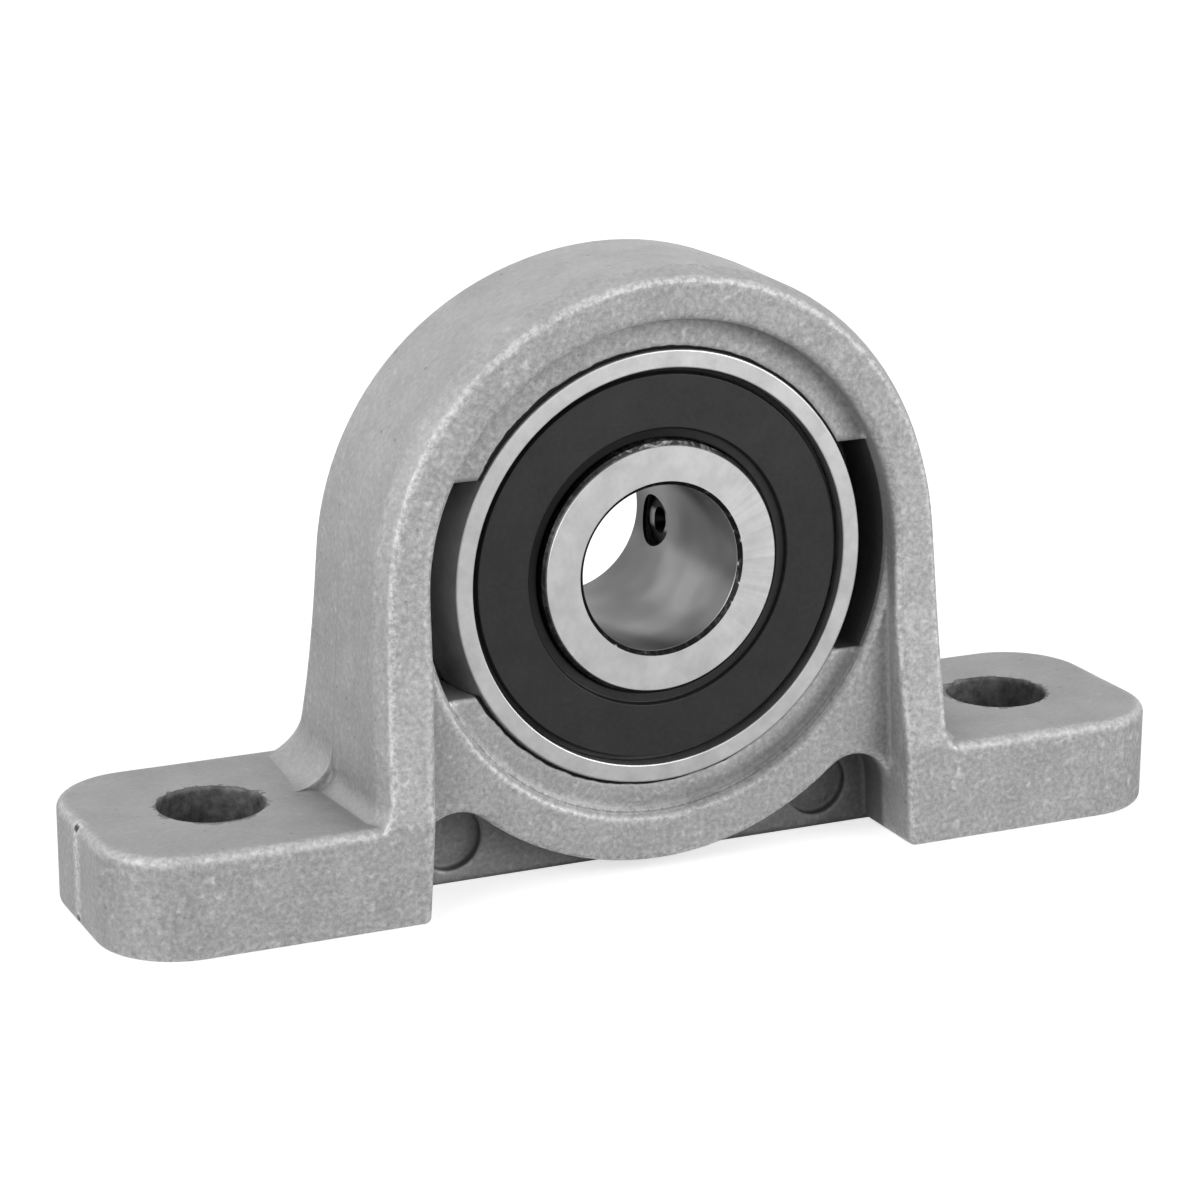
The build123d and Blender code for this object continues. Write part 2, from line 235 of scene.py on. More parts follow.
def pockets(tree, at):
    """Mask of the pockets between the legs, from behind their front edges to the rear."""
    return where_all(tree, band(tree, at.side, NEAR, LEG_INSIDE + 0.8, 0.2),
                     band(tree, at.height, NEAR, 7.5, 0.8),
                     band(tree, at.depth, SEAT_FRONT + 0.55, FAR, 0.2))


def burnished_highlit_edges(tree, at, sparkle, pocket):
    """Mask of the raised edges, burnished and painted with a highlight in sparkling patches, but not in the
    bearing's seat, the bolt holes, the pockets or the crease where the fillets of feet and legs meet."""
    solid = add_node(tree, "ShaderNodeAmbientOcclusion", {"Distance": 0.38 * MM},
                     inside=True, only_local=True, samples=8).outputs["AO"]
    edge = add_node(tree, "ShaderNodeMapRange", {"Value": solid, "From Min": 0.93, "From Max": 0.72})
    edge = where_all(tree, edge, sparkle, band(tree, at.radius, RECESS - 0.3, FAR, 0.2),
                     band(tree, at.bolt, BOLT_HOLE + 0.45, FAR, 0.2))
    crease = where_all(tree, band(tree, at.side, 13.0, 18.5, 0.3), band(tree, at.depth, -0.8, 0.8, 0.3),
                       band(tree, at.height, 4.9, 9.0, 0.2))
    for sheltered in (pocket, crease):
        edge = add_node(tree, "ShaderNodeMath", {0: edge, 1: sheltered}, operation="SUBTRACT",
                        use_clamp=True)
    return edge


def pocket_shade(tree, at, pocket):
    """Mask of painted shade in the pockets, heavier to the right."""
    shade = add_node(tree, "ShaderNodeMapRange",
                     {"Value": at.across, "From Min": -10 * MM, "From Max": 10 * MM,
                      "To Min": 0.3, "To Max": 0.58})
    return where_all(tree, pocket, shade)


def recess_shade(tree, at):
    """Mask of painted shade under the recess's lip on the right, heavier low down."""
    shade = add_node(tree, "ShaderNodeMapRange",
                     {"Value": at.height, "From Min": 22 * MM, "From Max": 10 * MM,
                      "To Min": 0.3, "To Max": 0.75})
    return where_all(tree, band(tree, at.radius, RECESS - 0.8, RECESS + 0.2, 0.35),
                     band(tree, at.across, 1.0, FAR, 5.0),
                     band(tree, at.depth, TOWER_FRONT + 0.2, SEAT_FRONT + 0.25, 0.15), shade)


def slot_shade(tree, at):
    """Mask of painted shade in the slots beside the bearing, heavier to the right."""
    shade = add_node(tree, "ShaderNodeMapRange",
                     {"Value": at.across, "From Min": -12 * MM, "From Max": 12 * MM,
                      "To Min": 0.12, "To Max": 0.9})
    return where_all(tree, band(tree, at.radius, SPHERE - 0.1, RECESS + 0.04, 0.02),
                     band(tree, at.depth, SEAT_FRONT + 0.25, 2.0, 0.08), shade)


def gap_shadow(tree, at):
    """Mask of painted shadow in the hairline gap round the bearing, wider on the left."""
    uneven = add_node(tree, "ShaderNodeTexNoise",
                      {"Vector": at.place, "Scale": per_metre(1.2), "Detail": 2.0, "Roughness": 0.6})
    reach = add_node(tree, "ShaderNodeMapRange",
                     {"Value": at.across, "From Min": -8 * MM, "From Max": 8 * MM,
                      "To Min": -0.32 * MM, "To Max": -0.12 * MM})
    reach = add_node(tree, "ShaderNodeMath", {0: uneven, 1: reach, 2: at.radius}, operation="MULTIPLY_ADD")
    return where_all(tree, band(tree, reach, NEAR, 10.52, 0.02),
                     band(tree, at.depth, TOWER_FRONT + 0.4, SEAT_FRONT + 0.55, 0.1))


def bolt_hole_walls(tree, at):
    """Mask and tone of the bolt holes: cast, with painted shade inside, dark and mottled, with ragged
    mouths.
    """
    ragged = add_node(tree, "ShaderNodeTexNoise",
                      {"Vector": at.place, "Scale": per_metre(0.6), "Detail": 3.0, "Roughness": 0.6})
    bite = add_node(tree, "ShaderNodeMapRange",
                    {"Value": ragged, "From Min": 0.45, "From Max": 0.65, "To Max": -0.35 * MM})
    bitten = add_node(tree, "ShaderNodeMath", {0: at.bolt, 1: bite})
    tone = add_node(tree, "ShaderNodeValToRGB", {"Fac": ragged}, [(0.3, "#4e4e4f"), (0.7, "#8a8a8b")])
    return band(tree, bitten, NEAR, BOLT_HOLE + 0.02, 0.02), tone


def parting_ridge(tree, at, sparkle):
    """Mask of the die's parting line where it is a soft ridge, down each foot end, burnished and with a
    painted highlight.
    """
    return where_all(tree, band(tree, at.depth, -0.35, 0.35, 0.3),
                     band(tree, at.side, FOOT_END - 0.4, FAR, 0.2), sparkle, 0.6)


def parting_line(tree, at, sparkle):
    """Mask of the die's parting line where it is faint, down the legs."""
    return where_all(tree, band(tree, at.depth, -0.04, 0.04, 0.03),
                     band(tree, at.side, LEG_INSIDE + 0.8, 17.0, 0.2),
                     band(tree, at.height, 5.6, 15.0, 1.0), sparkle)


def nick(tree, at, height):
    """Mask of a small nick at this height on each foot end."""
    away = axis_distance(tree, at.mirrored, ((FOOT_END - 0.1) * MM, 0.1 * MM, height * MM), (1, 1, 1))
    return band(tree, away, NEAR, 0.16, 0.06)


def shot_blasted_zinc():
    """Zinc alloy die casting, shot-blasted: even matt grey, worm-like peening marks on the broad faces,
    smoother on the rims, bright wherever shot has burnished a raised edge, with a painted highlight there,
    and painted shade on the feet's tops, in corners, pockets, the recess, the slots, the gap round the
    bearing and the bolt holes."""
    made, tree, shader, place = new_material("shot_blasted_zinc_casting")
    at = casting_places(tree, place)
    tone, relief, grit = blasted_skin(tree, at)
    sparkle = add_node(tree, "ShaderNodeMapRange",
                       {"Value": grit, "From Min": 0.42, "From Max": 0.58, "To Min": 0.2, "To Max": 1.0})
    pocket = pockets(tree, at)
    wall, hole_shade_tone = bolt_hole_walls(tree, at)
    # Painted colours: a painted highlight on burnished edges, painted shade, deeper painted shade in the
    # slots, and a painted shadow in the gap round the bearing.
    burnished_highlight, painted_shade, deep_shade, gap_shadow_tone = linear("#ffffff"), linear("#3c3c3d"), linear("#2c2c2d"), linear("#1e1e1f")
    layers = [
        (shaded_foot_tops(tree, at), painted_shade),
        (shot_pits(tree, at), linear("#8f8f90")),
        (shade_in_corners(tree), painted_shade),
        (burnished_highlit_edges(tree, at, sparkle, pocket), burnished_highlight),
        (pocket_shade(tree, at, pocket), painted_shade),
        (recess_shade(tree, at), painted_shade),
        (slot_shade(tree, at), deep_shade),
        (gap_shadow(tree, at), gap_shadow_tone),
        (wall, hole_shade_tone),
        (parting_ridge(tree, at, sparkle), burnished_highlight),
        (parting_line(tree, at, sparkle), linear("#9a9a9b")),
        (nick(tree, at, 4.75), linear("#4a4a4b")),
        (nick(tree, at, 0.4), linear("#4a4a4b"))]
    for mask, colour in layers:
        tone = add_node(tree, "ShaderNodeMix", {"Factor": mask, "A": tone, "B": colour}, data_type="RGBA")
    tree.links.new(tone.outputs[2], shader.inputs["Base Color"])

    rounded = add_node(tree, "ShaderNodeBevel", {"Radius": 0.4 * MM}, samples=8).outputs["Normal"]
    bump = add_node(tree, "ShaderNodeBump",
                    {"Height": relief, "Normal": rounded, "Strength": 0.45, "Distance": 0.04 * MM})
    tree.links.new(bump.outputs["Normal"], shader.inputs["Normal"])
    shader.inputs["Metallic"].default_value = 0.7
    shader.inputs["Roughness"].default_value = 0.6
    return made


def painted_fan_highlight(tree, spot, radius):
    """Mask of the painted highlight that fans out over the inner ring's lapped face, right of the bore."""
    turn = add_node(tree, "ShaderNodeMath", {0: spot.outputs["Z"], 1: spot.outputs["X"]},
                    operation="ARCTAN2")
    rays = add_node(tree, "ShaderNodeTexNoise",
                    {"W": turn, "Scale": 14.0, "Detail": 3.0, "Roughness": 0.6}, noise_dimensions="1D")
    rays = add_node(tree, "ShaderNodeMapRange",
                    {"Value": rays, "From Min": 0.35, "From Max": 0.65, "To Max": 0.2})
    right_side = add_node(tree, "ShaderNodeMapRange",
                          {"Value": spot.outputs["X"], "From Min": 2.0 * MM, "From Max": 5.5 * MM})
    return where_all(tree, rays, right_side, band(tree, radius, NEAR, INNER_SHOULDER + 0.9, 0.1))


def flank_oil_shade_and_highlights(tree, place, spot, radius):
    """Mask and tone of the inner ring's flank beside the seal lip: black with oil and painted shade, with
    painted highlights as bright streaks toward the top."""
    streaks = add_node(tree, "ShaderNodeTexNoise",
                       {"Vector": place, "Scale": per_metre(0.9), "Detail": 4.0, "Roughness": 0.75,
                        "Distortion": 1.0})
    toward_top = add_node(tree, "ShaderNodeMapRange",
                          {"Value": spot.outputs["Z"], "From Min": 4.0 * MM, "From Max": 6.0 * MM,
                           "To Min": 0.0, "To Max": 0.3})
    streaks = add_node(tree, "ShaderNodeMath", {0: streaks, 1: toward_top})
    tone = add_node(tree, "ShaderNodeValToRGB", {"Fac": streaks},
                    [(0.45, "#202021"), (0.75, "#4a4a4b"), (0.95, "#d8d8d8")])
    mask = where_all(tree, band(tree, radius, 5.91, INNER_SHOULDER + 0.5, 0.01),
                     band(tree, spot.outputs["Y"], -RING_FACE - 0.1, -RING_FACE + 1.1, 0.2))
    return mask, tone


def ground_steel():
    """Bearing steel, ground: smooth light grey faces with a faint sheen and a painted highlight fanning out
    right of the bore;
    the honed bore is painted darker as a darker reflection, its chamfers dark with painted glints, and the
    flank beside the front seal lip dark with oil and painted shade."""
    made, tree, shader, place = new_material("ground_bearing_steel")
    radius = axis_distance(tree, place, CENTRE, (1, 0, 1))
    spot = add_node(tree, "ShaderNodeVectorMath", {0: place, 1: CENTRE}, operation="SUBTRACT")
    spot = add_node(tree, "ShaderNodeSeparateXYZ", {"Vector": spot})
    smear = add_node(tree, "ShaderNodeTexNoise",
                     {"Vector": place, "Scale": per_metre(1.2), "Detail": 5.0, "Roughness": 0.65})
    tone = add_node(tree, "ShaderNodeValToRGB", {"Fac": smear}, [(0.3, "#b4b4b4"), (0.7, "#cacaca")])
    # The bore's darker, patchy tone is a painted darker reflection.
    pool = add_node(tree, "ShaderNodeTexNoise",
                    {"Vector": place, "Scale": per_metre(5.0), "Detail": 2.0, "Roughness": 0.4})
    bore_painted_reflection = add_node(tree, "ShaderNodeValToRGB", {"Fac": pool},
                     [(0.35, "#5e5e5f"), (0.5, "#787879"), (0.65, "#9c9c9d")])
    bore = band(tree, radius, NEAR, BORE + 0.02, 0.005)
    # The chamfers are painted dark as a darker reflection, with light flecks as painted glints.
    fleck = add_node(tree, "ShaderNodeTexNoise", {"Vector": place, "Scale": per_metre(0.3), "Detail": 2.0})
    chamfer_reflection_and_glints = add_node(tree, "ShaderNodeValToRGB", {"Fac": fleck},
                        [(0.5, "#202021"), (0.68, "#3f3f40"), (0.78, "#c8c8c8")])
    rim = band(tree, radius, BORE + 0.02, BORE + BORE_CHAMFER, 0.005)
    for mask, colour in ((painted_fan_highlight(tree, spot, radius), linear("#ffffff")), (bore, bore_painted_reflection),
                         (rim, chamfer_reflection_and_glints), flank_oil_shade_and_highlights(tree, place, spot, radius)):
        tone = add_node(tree, "ShaderNodeMix", {"Factor": mask, "A": tone, "B": colour}, data_type="RGBA")
    tree.links.new(tone.outputs[2], shader.inputs["Base Color"])

    # Grinding marks run round the axis, 0.12 mm apart: coarser than real ones, so that they show.
    marks = add_node(tree, "ShaderNodeTexNoise",
                     {"W": radius, "Scale": per_metre(0.12), "Detail": 3.0, "Roughness": 0.7},
                     noise_dimensions="1D")
    bump = add_node(tree, "ShaderNodeBump", {"Height": marks, "Strength": 0.05, "Distance": 0.01 * MM})
    tree.links.new(bump.outputs["Normal"], shader.inputs["Normal"])
    rough = add_node(tree, "ShaderNodeMapRange", {"Value": bore, "To Min": 0.42, "To Max": 0.3})
    tree.links.new(rough.outputs["Result"], shader.inputs["Roughness"])
    shader.inputs["Metallic"].default_value = 1.0
    return made


def nitrile_rubber():
    """Moulded nitrile rubber: charcoal, matt, with a fine speckle and soft smears of painted sheen where it
    is also smoother; painted shade makes the lip round the inner ring darker toward its upper left."""
    made, tree, shader, place = new_material("moulded_nitrile_rubber")
    speckle = add_node(tree, "ShaderNodeTexNoise",
                       {"Vector": place, "Scale": per_metre(0.25), "Detail": 3.0, "Roughness": 0.6})
    smear = add_node(tree, "ShaderNodeTexNoise",
                     {"Vector": place, "Scale": per_metre(2.5), "Detail": 4.0, "Roughness": 0.6})
    tone = add_node(tree, "ShaderNodeValToRGB", {"Fac": speckle}, [(0.3, "#161617"), (0.7, "#1f1f20")])
    # The lighter smears added to the colour are a painted sheen.
    painted_sheen = add_node(tree, "ShaderNodeValToRGB", {"Fac": smear}, [(0.4, "#000000"), (0.75, "#161616")])
    tone = add_node(tree, "ShaderNodeMix", {"Factor": 1.0, "A": tone, "B": painted_sheen},
                    data_type="RGBA", blend_type="ADD")
    spot = add_node(tree, "ShaderNodeSeparateXYZ", {"Vector": place})
    upper = add_node(tree, "ShaderNodeMapRange",
                     {"Value": spot.outputs["Z"], "From Min": 9.5 * MM, "From Max": 16 * MM, "To Max": 0.85})
    left = add_node(tree, "ShaderNodeMapRange",
                    {"Value": spot.outputs["X"], "From Min": 5 * MM, "From Max": 0.0})
    lip = band(tree, axis_distance(tree, place, CENTRE, (1, 0, 1)), NEAR, SEAL_LIP + 0.02, 0.02)
    # Painted shade on the lip, darker toward the upper left, and made metallic there to stay dark.
    shaded_lip = where_all(tree, lip, upper, left)
    tone = add_node(tree, "ShaderNodeMix", {"Factor": shaded_lip, "A": tone, "B": linear("#202021")},
                    data_type="RGBA")
    tree.links.new(tone.outputs[2], shader.inputs["Base Color"])
    tree.links.new(shaded_lip.outputs["Value"], shader.inputs["Metallic"])
    bump = add_node(tree, "ShaderNodeBump", {"Height": speckle, "Strength": 0.3, "Distance": 0.02 * MM})
    tree.links.new(bump.outputs["Normal"], shader.inputs["Normal"])
    rough = add_node(tree, "ShaderNodeMapRange",
                     {"Value": smear, "From Min": 0.3, "From Max": 0.7, "To Min": 0.56, "To Max": 0.44})
    tree.links.new(rough.outputs["Result"], shader.inputs["Roughness"])
    shader.inputs["Specular IOR Level"].default_value = 0.36
    return made


def black_oxide_steel():
    """Hardened alloy steel in black oxide, worn to patchy grey on the screws' cup points."""
    made, tree, shader, place = new_material("black_oxide_screw_steel")
    patch = add_node(tree, "ShaderNodeTexNoise", {"Vector": place, "Scale": per_metre(0.6), "Detail": 4.0})
    worn = add_node(tree, "ShaderNodeValToRGB", {"Fac": patch}, [(0.3, "#8b8b8c"), (0.7, "#b4b4b4")])
    radius = axis_distance(tree, place, (CENTRE.x, SCREW_Y * MM, CENTRE.z), (1, 0, 1))
    black = band(tree, radius, SCREW_POINT + 0.02, FAR, 0.01)
    tone = add_node(tree, "ShaderNodeMix", {"Factor": black, "A": worn, "B": linear("#1c1c1d")},
                    data_type="RGBA")
    tree.links.new(tone.outputs[2], shader.inputs["Base Color"])
    shader.inputs["Metallic"].default_value = 1.0
    shader.inputs["Roughness"].default_value = 0.38
    return made


def pressed_steel():
    """Cold-rolled sheet steel, pressed: satin grey, with faint rolling marks."""
    made, tree, shader, place = new_material("pressed_sheet_steel")
    marks = add_node(tree, "ShaderNodeTexNoise", {"Vector": place, "Scale": per_metre(0.4), "Detail": 3.0})
    tone = add_node(tree, "ShaderNodeValToRGB", {"Fac": marks}, [(0.3, "#9c9c9c"), (0.7, "#b6b6b5")])
    tree.links.new(tone.outputs["Color"], shader.inputs["Base Color"])
    shader.inputs["Metallic"].default_value = 1.0
    shader.inputs["Roughness"].default_value = 0.35
    return made


def polished_steel():
    """Bearing ball steel, lapped: near mirror, with the faintest haze."""
    made, tree, shader, place = new_material("lapped_ball_steel")
    haze = add_node(tree, "ShaderNodeTexNoise", {"Vector": place, "Scale": per_metre(1.0), "Detail": 2.0})
    rough = add_node(tree, "ShaderNodeMapRange", {"Value": haze, "To Min": 0.06, "To Max": 0.12})
    tree.links.new(rough.outputs["Result"], shader.inputs["Roughness"])
    shader.inputs["Base Color"].default_value = linear("#d6d6d8")
    shader.inputs["Metallic"].default_value = 1.0
    return made


zinc = shot_blasted_zinc()
ground = ground_steel()
rubber = nitrile_rubber()
oxide = black_oxide_steel()
sheet = pressed_steel()
mirror_steel = polished_steel()


# Tools that turn, join and cut meshes

def half_section(bm, moves):
    """Closed half section. A move is (radius, y), or for an arc (radius, y, centre radius, centre y,
    turn in degrees)."""
    first = last = bm.verts.new((moves[0][0] * MM, moves[0][1] * MM, 0))
    for move in moves[1:]:
        if len(move) == 2:
            new = bm.verts.new((move[0] * MM, move[1] * MM, 0))
            bm.edges.new((last, new))
            last = new
        else:
            centre_radius, centre_y, turn = move[2:]
            swept = bmesh.ops.spin(
                bm, geom=[last], cent=(centre_radius * MM, centre_y * MM, 0), axis=(0, 0, 1),
                angle=radians(turn), steps=max(4, int(abs(turn) / ARC_STEP)), use_duplicate=False)
            last = [v for v in swept["geom_last"] if isinstance(v, bmesh.types.BMVert)][0]
    bm.edges.new((last, first))
    bmesh.ops.remove_doubles(bm, verts=bm.verts, dist=MERGE * MM)


def turn_round(bm, steps):
    """Turn what is drawn about the bearing axis into a closed ring at the bearing's place."""
    bmesh.ops.spin(bm, geom=bm.verts[:] + bm.edges[:], cent=(0, 0, 0), axis=(0, 1, 0), angle=tau,
                   steps=steps, use_merge=True, use_duplicate=False)
    bmesh.ops.remove_doubles(bm, verts=bm.verts, dist=MERGE * MM)
    bmesh.ops.translate(bm, verts=bm.verts, vec=CENTRE)
    bmesh.ops.recalc_face_normals(bm, faces=bm.faces)


def soften(bm, width_mm):
    """Round the sharp edges by a small width."""
    sharp = [e for e in bm.edges if e.is_manifold and e.calc_face_angle(0) > radians(ROUNDED_ANGLE)]
    bmesh.ops.bevel(bm, geom=sharp, offset=width_mm * MM, offset_type="OFFSET", segments=2,
                    profile=0.5, affect="EDGES", clamp_overlap=True, material=-1)


def piece(bm, name, material, body, replaced):
    """Make an object of the mesh, smooth but for its sharp edges, that moves with a body."""
    for face in bm.faces:
        face.smooth = True
    for edge in bm.edges:
        edge.smooth = not (edge.is_manifold and edge.calc_face_angle(0) > radians(SHARP_ANGLE))
    mesh = bpy.data.meshes.new(name)
    bm.to_mesh(mesh)
    bm.free()
    mesh.materials.append(material)
    made = bpy.data.objects.new(name, mesh)
    scene.collection.objects.link(made)
    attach(made, body)
    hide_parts(*replaced)
    return made


def cut_with(made, cutter_bm, operation="DIFFERENCE"):
    """Cut a piece with a shape, or keep only what they share."""
    mesh = bpy.data.meshes.new("cutter")
    cutter_bm.to_mesh(mesh)
    cutter_bm.free()
    cutter = bpy.data.objects.new("cutter", mesh)
    scene.collection.objects.link(cutter)
    cut = made.modifiers.new("cut", "BOOLEAN")
    cut.object = cutter
    cut.operation = operation
    cut.solver = "EXACT"
    done = bpy.data.meshes.new_from_object(made.evaluated_get(bpy.context.evaluated_depsgraph_get()))
    made.modifiers.remove(cut)
    made.data = done
    bpy.data.objects.remove(cutter)
    for polygon in done.polygons:
        polygon.use_smooth = True
    done.set_sharp_from_angle(angle=radians(SHARP_ANGLE_CUT))


def upright_disc(low_radius, high_radius, low, high, sides=96):
    """Mesh of a cylinder or cone about Z from low to high, in millimetres."""
    bm = bmesh.new()
    bmesh.ops.create_cone(
        bm, cap_ends=True, segments=sides, radius1=low_radius * MM, radius2=high_radius * MM,
        depth=(high - low) * MM, matrix=Matrix.Translation((0, 0, (low + high) / 2 * MM)))
    return bm


def screw_matrix(angle):
    """Place on the bearing axis whose Z points outward at this angle above +X."""
    return (Matrix.Translation((0, SCREW_Y * MM, CENTRE.z))
            @ Matrix.Rotation(radians(90 - angle), 4, "Y"))


# The insert bearing's visible pieces

def race(centre, shoulder):
    """Half width of a ball groove at its shoulder, and the turn of its arc in degrees."""
    half_width = sqrt(GROOVE ** 2 - (centre - shoulder) ** 2)
    return half_width, 2 * degrees(asin(half_width / GROOVE))


def outer_ring():
    """Outer ring with its ball-shaped outside, race and seal seats."""
    face = sqrt(SPHERE ** 2 - RING_FACE ** 2)
    outside_turn = 2 * degrees(asin(RING_FACE / SPHERE))
    centre = PITCH + BALL / 2 + RACE_GAP - GROOVE
    groove_y, groove_turn = race(centre, OUTER_SHOULDER)
    bm = bmesh.new()
    half_section(bm, [
        (face, -RING_FACE), (face, RING_FACE, 0, 0, outside_turn), (SEAL_SEAT, RING_FACE),
        (SEAL_SEAT, SEAL_SEAT_Y), (OUTER_SHOULDER, SEAL_SEAT_Y), (OUTER_SHOULDER, groove_y),
        (OUTER_SHOULDER, -groove_y, centre, 0, -groove_turn), (OUTER_SHOULDER, -SEAL_SEAT_Y),
        (SEAL_SEAT, -SEAL_SEAT_Y), (SEAL_SEAT, -RING_FACE)])
    turn_round(bm, RING_STEPS)
    soften(bm, 0.06)
    piece(bm, "outer_ring_ground", ground, "outer_ring", ["outer_ring"])


def seal(name, side):
    """Rubber seal: a bead pressed into the outer ring, a raised disc, a lower lip at the inner ring."""
    bead, core, step, bore, raised, lip_floor = 9.58, 9.1, 6.95, 6.16, 3.2, 2.95
    bm = bmesh.new()
    half_section(bm, [(radius, side * y) for radius, y in [
        (bead, 2.72), (bead, SEAL_SEAT_Y), (core, SEAL_SEAT_Y), (core, 2.85), (step, 2.85), (step, 2.65),
        (bore, 2.65), (bore, 2.88), (bore + 0.06, lip_floor), (SEAL_LIP, lip_floor),
        (SEAL_LIP + 0.08, raised), (9.24, raised), (9.28, 2.76), (9.4, 2.68)]])
    turn_round(bm, 180)
    soften(bm, 0.04)
    piece(bm, f"{name}_moulded", rubber, "outer_ring", [name])


def screw_hole(angle):
    """Mesh to cut a threaded hole with: narrow where it meets the bore, countersunk outside."""
    mouth, mouth_end, thread_start = 1.22, 3.7, 4.1
    countersink, sink_start, sink_end = 1.9, 5.85, 6.25
    inside, outside = 1.0, 7.0
    bm = bmesh.new()
    line = [bm.verts.new((radius * MM, 0, z * MM)) for radius, z in (
        (0, inside), (mouth, inside), (mouth, mouth_end), (SCREW_HOLE, thread_start),
        (SCREW_HOLE, sink_start), (countersink, sink_end), (countersink, outside), (0, outside))]
    for pair in zip(line, line[1:]):
        bm.edges.new(pair)
    bmesh.ops.spin(bm, geom=bm.verts[:] + bm.edges[:], cent=(0, 0, 0), axis=(0, 0, 1), angle=tau,
                   steps=96, use_merge=True, use_duplicate=False)
    bmesh.ops.remove_doubles(bm, verts=bm.verts, dist=MERGE * MM)
    bmesh.ops.recalc_face_normals(bm, faces=bm.faces)
    bm.transform(screw_matrix(angle))
    return bm


def inner_ring():
    """Inner ring with its race, ground faces and two threaded holes."""
    front_chamfer, rear_chamfer = 0.21, 0.2
    centre = PITCH - BALL / 2 - RACE_GAP + GROOVE
    groove_y, groove_turn = race(centre, INNER_SHOULDER)
    bm = bmesh.new()
    half_section(bm, [
        (BORE + BORE_CHAMFER, -RING_FACE), (INNER_SHOULDER - front_chamfer, -RING_FACE),
        (INNER_SHOULDER, front_chamfer - RING_FACE), (INNER_SHOULDER, -groove_y),
        (INNER_SHOULDER, groove_y, centre, 0, -groove_turn), (INNER_SHOULDER, RING_REAR - rear_chamfer),
        (INNER_SHOULDER - rear_chamfer, RING_REAR), (BORE + BORE_CHAMFER, RING_REAR),
        (BORE, RING_REAR - BORE_CHAMFER), (BORE, BORE_CHAMFER - RING_FACE)])
    turn_round(bm, RING_STEPS)
    made = piece(bm, "inner_ring_ground", ground, "inner_ring", ["inner_ring"])
    for angle in SCREW_ANGLES:
        cut_with(made, screw_hole(angle))


def threaded_rod(length):
    """Mesh of a rod along Z with a helical M3 thread, cut square just past both ends of this length."""
    pitch, minor, major, steps, spare = 0.5, 1.21, 1.45, 48, 0.1
    tooth = ((minor, 0.0), (minor, 0.07), (major, 0.22), (major, 0.28), (minor, 0.43))
    bm = bmesh.new()
    last = None
    for turn in range(-1, int(length / pitch) + 2):
        for radius, z in tooth:
            new = bm.verts.new((radius * MM, 0, (turn * pitch + z) * MM))
            if last:
                bm.edges.new((last, new))
            last = new
    bmesh.ops.spin(bm, geom=bm.verts[:] + bm.edges[:], cent=(0, 0, 0), axis=(0, 0, 1), angle=tau,
                   dvec=(0, 0, pitch / steps * MM), steps=steps, use_merge=False, use_duplicate=False)
    bmesh.ops.remove_doubles(bm, verts=bm.verts, dist=MERGE * MM)
    for z, out in ((-spare, -1), (length + spare, 1)):
        bmesh.ops.bisect_plane(bm, geom=bm.verts[:] + bm.edges[:] + bm.faces[:], dist=1e-8,
                               plane_co=(0, 0, z * MM), plane_no=(0, 0, out), clear_outer=True)
        rim = [e for e in bm.edges if e.is_boundary
               and all(abs(v.co.z - z * MM) < 1e-7 for v in e.verts)]
        bmesh.ops.edgeloop_fill(bm, edges=rim)
    bmesh.ops.recalc_face_normals(bm, faces=bm.faces)
    return bm


def set_screw(number, angle):
    """Headless screw: threaded, chamfered ends, hexagon socket outside, cup point toward the shaft."""
    name = f"set_screw_{number}"
    length = SCREW_END - SCREW_POINT
    chamfer, hexagon_corner, socket_depth, cup_mouth, cup_depth = 0.35, 0.866, 1.3, 0.72, 0.6
    made = piece(threaded_rod(length), f"{name}_threaded", oxide, name, [name])
    blank = upright_disc(SCREW_HOLE, SCREW_HOLE, 0.0, length)
    bmesh.ops.bevel(blank, geom=[e for e in blank.edges if e.calc_face_angle(0) > radians(60)],
                    offset=chamfer * MM, offset_type="OFFSET", segments=1, profile=0.5, affect="EDGES",
                    material=-1)
    cut_with(made, blank, "INTERSECT")
    socket = upright_disc(hexagon_corner, hexagon_corner, length - socket_depth, length + 0.2, 6)
    drill_point = upright_disc(0.05, 0.75, length - 1.7, length - 1.28, 48)
    cup = upright_disc(cup_mouth, 0.3, -0.1, cup_depth, 48)
    for tool in (socket, drill_point, cup):
        cut_with(made, tool)
    made.data.transform(screw_matrix(angle) @ Matrix.Translation((0, 0, SCREW_POINT * MM)))


outer_ring()
seal("front_seal_rubber", -1)
seal("rear_seal_rubber", 1)
inner_ring()
for number, angle in enumerate(SCREW_ANGLES, start=1):
    set_screw(number, angle)


# CAD nodes that keep their shape

cad_materials = {"housing": zinc, "front_seal_core": sheet, "rear_seal_core": sheet,
                 "cage_front_half": sheet, "cage_rear_half": sheet, "cage_rivets": sheet}
cad_materials.update({f"ball_{k}": mirror_steel for k in range(1, BALL_COUNT + 1)})
for name, material in cad_materials.items():
    nodes[name].data.materials.clear()
    nodes[name].data.materials.append(material)


# Floor, light and camera

def add_floor():
    """Plain white floor that shows the part's soft shadow, and glows a little where the camera sees it."""
    half_width, glow_strength = 1.5, 0.6
    made, tree, shader, _ = new_material("white_floor")
    shader.inputs["Base Color"].default_value = linear("#ffffff")
    shader.inputs["Roughness"].default_value = 1.0
    shader.inputs["Specular IOR Level"].default_value = 0.0
    shader.inputs["Emission Color"].default_value = linear("#ffffff")
    seen = add_node(tree, "ShaderNodeLightPath").outputs["Is Camera Ray"]
    glow = where_all(tree, seen, glow_strength)
    tree.links.new(glow.outputs["Value"], shader.inputs["Emission Strength"])
    bm = bmesh.new()
    bmesh.ops.create_grid(bm, x_segments=1, y_segments=1, size=half_width)
    mesh = bpy.data.meshes.new("floor")
    bm.to_mesh(mesh)
    bm.free()
    mesh.materials.append(made)
    floor = bpy.data.objects.new("floor", mesh)
    scene.collection.objects.link(floor)


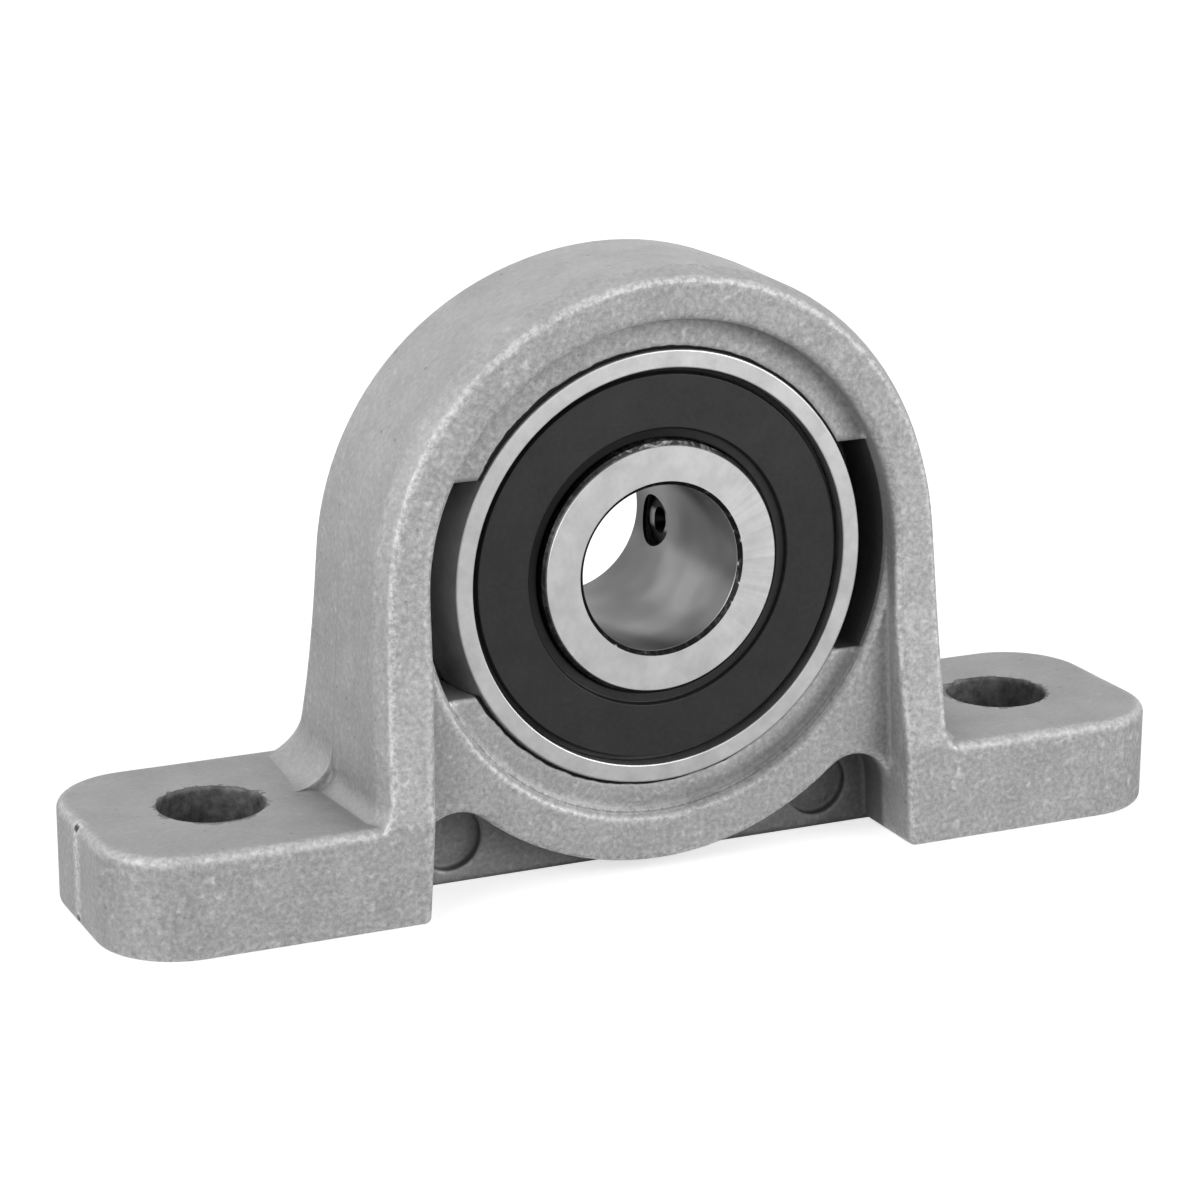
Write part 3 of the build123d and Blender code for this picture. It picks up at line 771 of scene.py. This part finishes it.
def add_world():
    """White surroundings for what the eye and the metal see, a plain even level for the rest."""
    even_level = 0.42
    world = bpy.data.worlds.new("studio")
    world.use_nodes = True
    tree = world.node_tree
    tree.nodes.clear()
    path = add_node(tree, "ShaderNodeLightPath")
    shown = path.outputs["Is Camera Ray"]
    for ray in ("Is Glossy Ray", "Is Transmission Ray"):
        shown = add_node(tree, "ShaderNodeMath", {0: shown, 1: path.outputs[ray]}, operation="MAXIMUM")
    strength = add_node(tree, "ShaderNodeMapRange", {"Value": shown, "To Min": even_level, "To Max": 1.0})
    background = add_node(tree, "ShaderNodeBackground", {"Color": linear("#ffffff"), "Strength": strength})
    add_node(tree, "ShaderNodeOutputWorld", {"Surface": background})
    scene.world = world


def add_lamp(name, place, size, power):
    """Square soft lamp aimed at the bearing: place and size in metres, power in watts."""
    data = bpy.data.lights.new(name, "AREA")
    data.shape = "SQUARE"
    data.size = size
    data.energy = power
    lamp = bpy.data.objects.new(name, data)
    scene.collection.objects.link(lamp)
    lamp.location = place
    lamp.rotation_euler = (CENTRE - Vector(place)).to_track_quat("-Z", "Y").to_euler()


def add_camera():
    """Camera at the photograph's place: angles, distance and focal length were fitted to it."""
    yaw, pitch, roll, distance = 0.4332665, 0.2834357, 0.0043517, 171.7497 * MM
    target = Vector((-1.22874, 0, 12.49261)) * MM
    focal_pixels, photo_pixels, sensor = 3587.506, 1200, 36.0
    along = Vector((sin(yaw) * cos(pitch), cos(yaw) * cos(pitch), -sin(pitch)))
    right = Vector((cos(yaw), -sin(yaw), 0))
    up = right.cross(along)
    across = right * cos(roll) + up * sin(roll)
    upright = up * cos(roll) - right * sin(roll)
    data = bpy.data.cameras.new("camera")
    data.sensor_width = sensor
    data.lens = sensor * focal_pixels / photo_pixels
    data.clip_start = 0.005
    data.clip_end = 10.0
    camera = bpy.data.objects.new("camera", data)
    scene.collection.objects.link(camera)
    turn = Matrix((across, upright, -along)).transposed().to_4x4()
    camera.matrix_world = Matrix.Translation(target - along * distance) @ turn
    scene.camera = camera


add_floor()
add_world()
add_lamp("left", (-0.55, -0.25, 0.2), 0.4, 1.7)
add_lamp("front_right", (0.4, -0.5, 0.15), 0.4, 1.9)
add_camera()
scene.view_settings.view_transform = "Standard"
